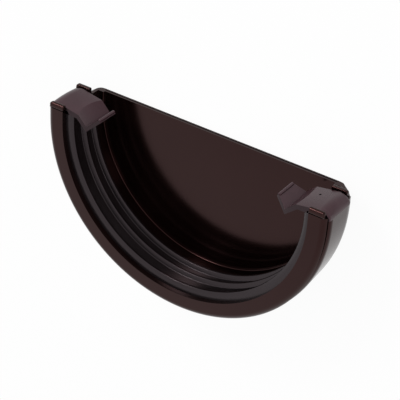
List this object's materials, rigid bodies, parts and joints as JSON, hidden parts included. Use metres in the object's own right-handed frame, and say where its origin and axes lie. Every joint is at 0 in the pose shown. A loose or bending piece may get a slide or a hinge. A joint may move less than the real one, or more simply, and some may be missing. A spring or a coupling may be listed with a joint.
{
  "type": "half-round gutter stop end",
  "caption": "Stop end that closes a half-round plastic rainwater gutter, with a ribbed rubber seal and a springy retaining clip on each rim",
  "frame": {"origin": "on the half-round centre line, at the outer face of the end wall, which lies on the ground", "axes": "+X across the opening to the right clip, +Y from the round side to the rims with the clips, +Z out of the open mouth along the gutter"},
  "size_m": [0.1508, 0.0844, 0.0303],
  "materials": {
    "housing_plastic": "glossy dark chocolate brown moulded plastic",
    "seal_rubber": "satin black moulded rubber",
    "clip_plastic": "satin dark brown moulded plastic, a shade lighter than the housing"
  },
  "bodies": {
    "root": {"housing": "housing_plastic", "rubber_seal": "seal_rubber", "left_clip": "clip_plastic", "right_clip": "clip_plastic"}
  },
  "joints": []
}
